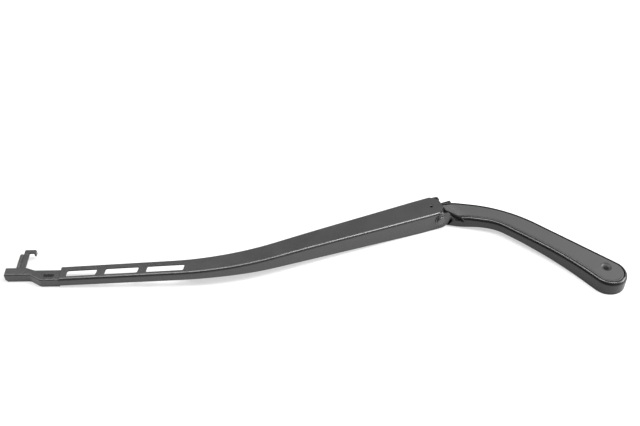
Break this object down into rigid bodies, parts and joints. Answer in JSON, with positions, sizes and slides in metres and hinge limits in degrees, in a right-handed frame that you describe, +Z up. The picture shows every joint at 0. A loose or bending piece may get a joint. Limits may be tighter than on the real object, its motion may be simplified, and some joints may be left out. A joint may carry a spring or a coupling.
{
  "type": "wiper arm",
  "caption": "Bent channel arm hinged on a cast mounting head, pulled down by a hidden spring, with a side pin and flag that carry a wiper blade.",
  "frame": {"origin": "on the spindle bore's axis, level with the underside of the head's round end", "axes": "+Z up along the spindle, away from the screen; -X towards the blade end; -Y towards the front"},
  "size_m": [0.6131, 0.1259, 0.0218],
  "materials": {
    "arm_paint": "satin black paint on pressed steel",
    "head_paint": "satin black paint on a casting",
    "cover_plastic": "fine-grained black moulding",
    "rivet_paint": "satin black paint on riveted steel",
    "bush_plastic": "pale low-friction moulding",
    "plated_steel": "dull zinc plating",
    "spring_steel": "oiled spring wire",
    "bracket_paint": "satin black paint on steel",
    "pin_steel": "bare turned steel"
  },
  "bodies": {
    "head": {"mounting_head": "head_paint", "head_cover": "cover_plastic", "hinge_bush_front": "bush_plastic", "hinge_bush_rear": "bush_plastic", "spring_hook_pin": "plated_steel"},
    "arm": {"arm_channel": "arm_paint", "hinge_pin": "rivet_paint", "rivet_washer_front": "rivet_paint", "rivet_washer_rear": "rivet_paint", "spring_anchor": "plated_steel", "blade_bracket": "bracket_paint", "blade_pin": "pin_steel"},
    "spring_link": {"spring_hook_link": "plated_steel", "tension_spring": "spring_steel"}
  },
  "joints": [
    {"name": "arm_lift", "type": "hinge", "parent": "head", "child": "arm", "pos_m": [-0.1626, 0.0886, 0.0123], "axis": [-0.3681, 0.9298, 0], "range_deg": [0, 58], "stiffness_Nm_per_rad": 2, "springref_deg": -28.65},
    {"name": "link_swing", "type": "hinge", "parent": "head", "child": "spring_link", "pos_m": [-0.15935, 0.08989, 0.0072], "axis": [-0.3681, 0.9298, 0], "range_deg": [0, 56]}
  ],
  "couplings": [
    {"joint": "link_swing", "follows": "arm_lift", "ratio": 0.962}
  ]
}
